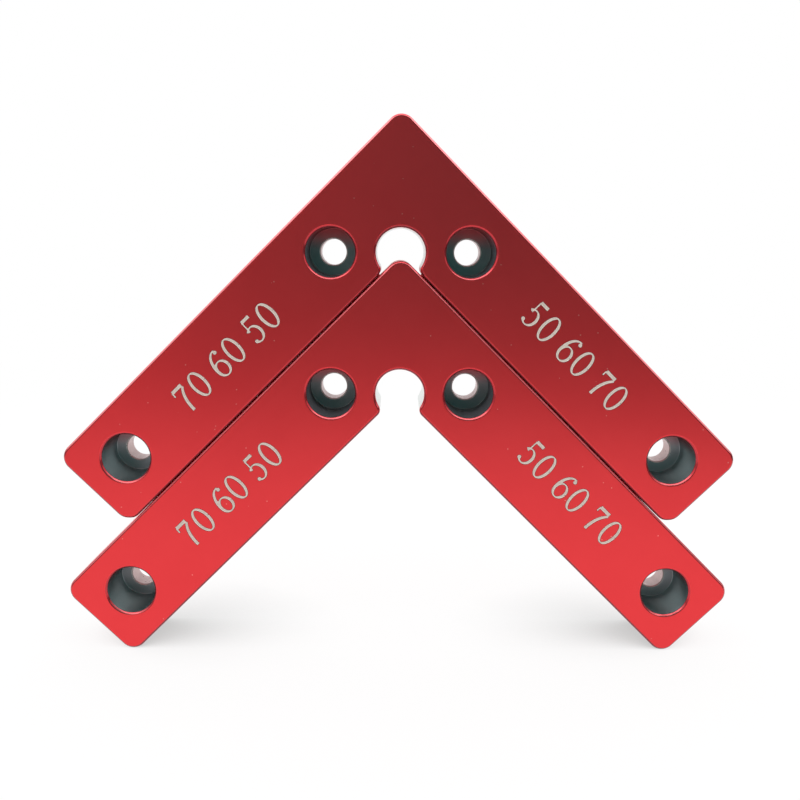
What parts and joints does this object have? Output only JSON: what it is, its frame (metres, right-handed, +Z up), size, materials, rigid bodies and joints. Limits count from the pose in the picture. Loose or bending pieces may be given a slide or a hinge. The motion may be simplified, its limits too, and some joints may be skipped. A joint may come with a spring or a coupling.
{
  "type": "right angle positioning block",
  "caption": "L-shaped anodised aluminium blocks, nested, that hold work square: flat outer and inner faces, round relief at the inner corner, counterbored screw holes along each leg.",
  "frame": {"origin": "on the surface that the blocks stand on, below the middle of the nested pair and halfway through its thickness", "axes": "+Z up through the corners of both blocks, +X to the right along the width over the leg tips, -Y out of the front faces, which the counterbores open to"},
  "size_m": [0.139, 0.015, 0.1111],
  "materials": {
    "red_anodised_aluminium": "satin red anodise with polished chamfers",
    "bare_aluminium": "bare machined metal in the holes and the relief",
    "engraved_numerals": "bare matt metal where a marking cuts through the anodise"
  },
  "bodies": {
    "lower": {"lower_block": "red_anodised_aluminium"},
    "upper": {"upper_block": "red_anodised_aluminium"}
  },
  "joints": [
    {"name": "upper_lift", "type": "slide", "parent": "lower", "child": "upper", "axis": [0, 0, 1], "range_m": [0, 0.06]}
  ]
}
